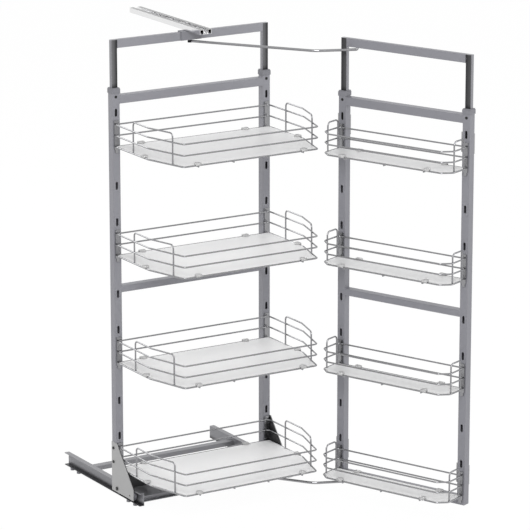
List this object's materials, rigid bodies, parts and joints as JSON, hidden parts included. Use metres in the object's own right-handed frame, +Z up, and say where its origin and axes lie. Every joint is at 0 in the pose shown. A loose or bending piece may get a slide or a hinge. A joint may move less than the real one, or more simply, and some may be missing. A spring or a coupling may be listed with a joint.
{
  "type": "pull out larder unit",
  "caption": "Pull-out larder unit: inner basket frame on floor rails and a top guide, drawn out by rods from a second basket frame on the cabinet door.",
  "frame": {"origin": "centre of the base's fixing holes on the cabinet floor, under the bushes", "axes": "+X to the right seen from the front, +Y to the back of the cabinet, +Z up"},
  "size_m": [0.8073, 1.1153, 1.4425],
  "materials": {
    "zinc": "bright zinc plate, satin",
    "grey_plastic": "matte",
    "black_plastic": "matte black",
    "black_steel": "blackened",
    "silver_paint": "satin silver grey",
    "polished_steel": "fine brushed",
    "chrome_wire": "bright chrome",
    "frosted_tray": "frosted, translucent white",
    "clear_plastic": "clear, glossy"
  },
  "bodies": {
    "cabinet_base": {"base_rail_left": "zinc", "base_rail_right": "zinc", "base_cross_front": "zinc", "base_cross_rear": "zinc", "base_feet": "grey_plastic", "soft_close_left": "black_plastic", "soft_close_right": "black_plastic", "top_rail": "zinc"},
    "inner_frame": {"upright_left": "silver_paint", "upright_right": "silver_paint", "crossbar_upper": "silver_paint", "crossbar_middle": "silver_paint", "crossbar_lower": "silver_paint", "side_plate_left": "zinc", "side_plate_right": "zinc", "carriage_left": "black_plastic", "carriage_right": "black_plastic", "roller_axles": "polished_steel", "frame_screws": "black_steel", "collars": "grey_plastic", "basket_wires_1": "chrome_wire", "basket_wires_2": "chrome_wire", "basket_wires_3": "chrome_wire", "basket_wires_4": "chrome_wire", "basket_tray_1": "frosted_tray", "basket_tray_2": "frosted_tray", "basket_tray_3": "frosted_tray", "basket_tray_4": "frosted_tray", "basket_clips": "clear_plastic"},
    "inner_head": {"head_post_left": "polished_steel", "head_post_right": "polished_steel", "head_bar": "silver_paint", "guide_block": "grey_plastic"},
    "door_frame": {"door_upright_hinge": "silver_paint", "door_upright_free": "silver_paint", "door_crossbar_upper": "silver_paint", "door_crossbar_middle": "silver_paint", "door_crossbar_lower": "silver_paint", "door_brackets": "zinc", "door_screws": "black_steel", "door_collars": "grey_plastic", "door_basket_wires_1": "chrome_wire", "door_basket_wires_2": "chrome_wire", "door_basket_wires_3": "chrome_wire", "door_basket_wires_4": "chrome_wire", "door_tray_1": "frosted_tray", "door_tray_2": "frosted_tray", "door_tray_3": "frosted_tray", "door_tray_4": "frosted_tray", "door_clips": "clear_plastic"},
    "door_head": {"door_post_hinge": "polished_steel", "door_post_free": "polished_steel", "door_head_bar": "silver_paint"},
    "upper_link": {"top_rod": "chrome_wire"},
    "lower_link": {"bottom_rod": "chrome_wire"},
    "wheel_front_left": {"roller_front_left": "grey_plastic"},
    "wheel_rear_left": {"roller_rear_left": "grey_plastic"},
    "wheel_front_right": {"roller_front_right": "grey_plastic"},
    "wheel_rear_right": {"roller_rear_right": "grey_plastic"}
  },
  "joints": [
    {"name": "door_swing", "type": "hinge", "parent": "cabinet_base", "child": "door_frame", "pos_m": [0.326, -0.3143, 0], "axis": [0, 0, -1], "range_deg": [0, 112.5]},
    {"name": "frame_slide", "type": "slide", "parent": "cabinet_base", "child": "inner_frame", "axis": [0, 1, 0], "range_m": [0, 0.2893]},
    {"name": "inner_head_height", "type": "slide", "parent": "inner_frame", "child": "inner_head", "axis": [0, 0, -1], "range_m": [0, 0.1]},
    {"name": "door_head_height", "type": "slide", "parent": "door_frame", "child": "door_head", "axis": [0, 0, -1], "range_m": [0, 0.1]},
    {"name": "upper_link_turn", "type": "hinge", "parent": "door_head", "child": "upper_link", "pos_m": [0.358, -0.46341, 1.41], "axis": [0, 0, 1], "range_deg": [0, 88.87]},
    {"name": "lower_link_turn", "type": "hinge", "parent": "door_frame", "child": "lower_link", "pos_m": [0.358, -0.46341, 0.056], "axis": [0, 0, 1], "range_deg": [0, 88.87]},
    {"name": "wheel_front_left_turn", "type": "hinge", "parent": "inner_frame", "child": "wheel_front_left", "pos_m": [-0.2665, -0.186, 0.028], "axis": [-1, 0, 0], "range_deg": [0, 948.2]},
    {"name": "wheel_rear_left_turn", "type": "hinge", "parent": "inner_frame", "child": "wheel_rear_left", "pos_m": [-0.2665, -0.107, 0.028], "axis": [-1, 0, 0], "range_deg": [0, 948.2]},
    {"name": "wheel_front_right_turn", "type": "hinge", "parent": "inner_frame", "child": "wheel_front_right", "pos_m": [0.2665, -0.186, 0.028], "axis": [-1, 0, 0], "range_deg": [0, 948.2]},
    {"name": "wheel_rear_right_turn", "type": "hinge", "parent": "inner_frame", "child": "wheel_rear_right", "pos_m": [0.2665, -0.107, 0.028], "axis": [-1, 0, 0], "range_deg": [0, 948.2]}
  ],
  "couplings": [
    {"joint": "frame_slide", "follows": "door_swing", "m_per_rad": 0.14734},
    {"joint": "upper_link_turn", "follows": "door_swing", "ratio": 0.78817},
    {"joint": "lower_link_turn", "follows": "door_swing", "ratio": 0.78817},
    {"joint": "door_head_height", "follows": "inner_head_height", "ratio": 1},
    {"joint": "wheel_front_left_turn", "follows": "door_swing", "ratio": 8.4194},
    {"joint": "wheel_rear_left_turn", "follows": "door_swing", "ratio": 8.4194},
    {"joint": "wheel_front_right_turn", "follows": "door_swing", "ratio": 8.4194},
    {"joint": "wheel_rear_right_turn", "follows": "door_swing", "ratio": 8.4194}
  ]
}
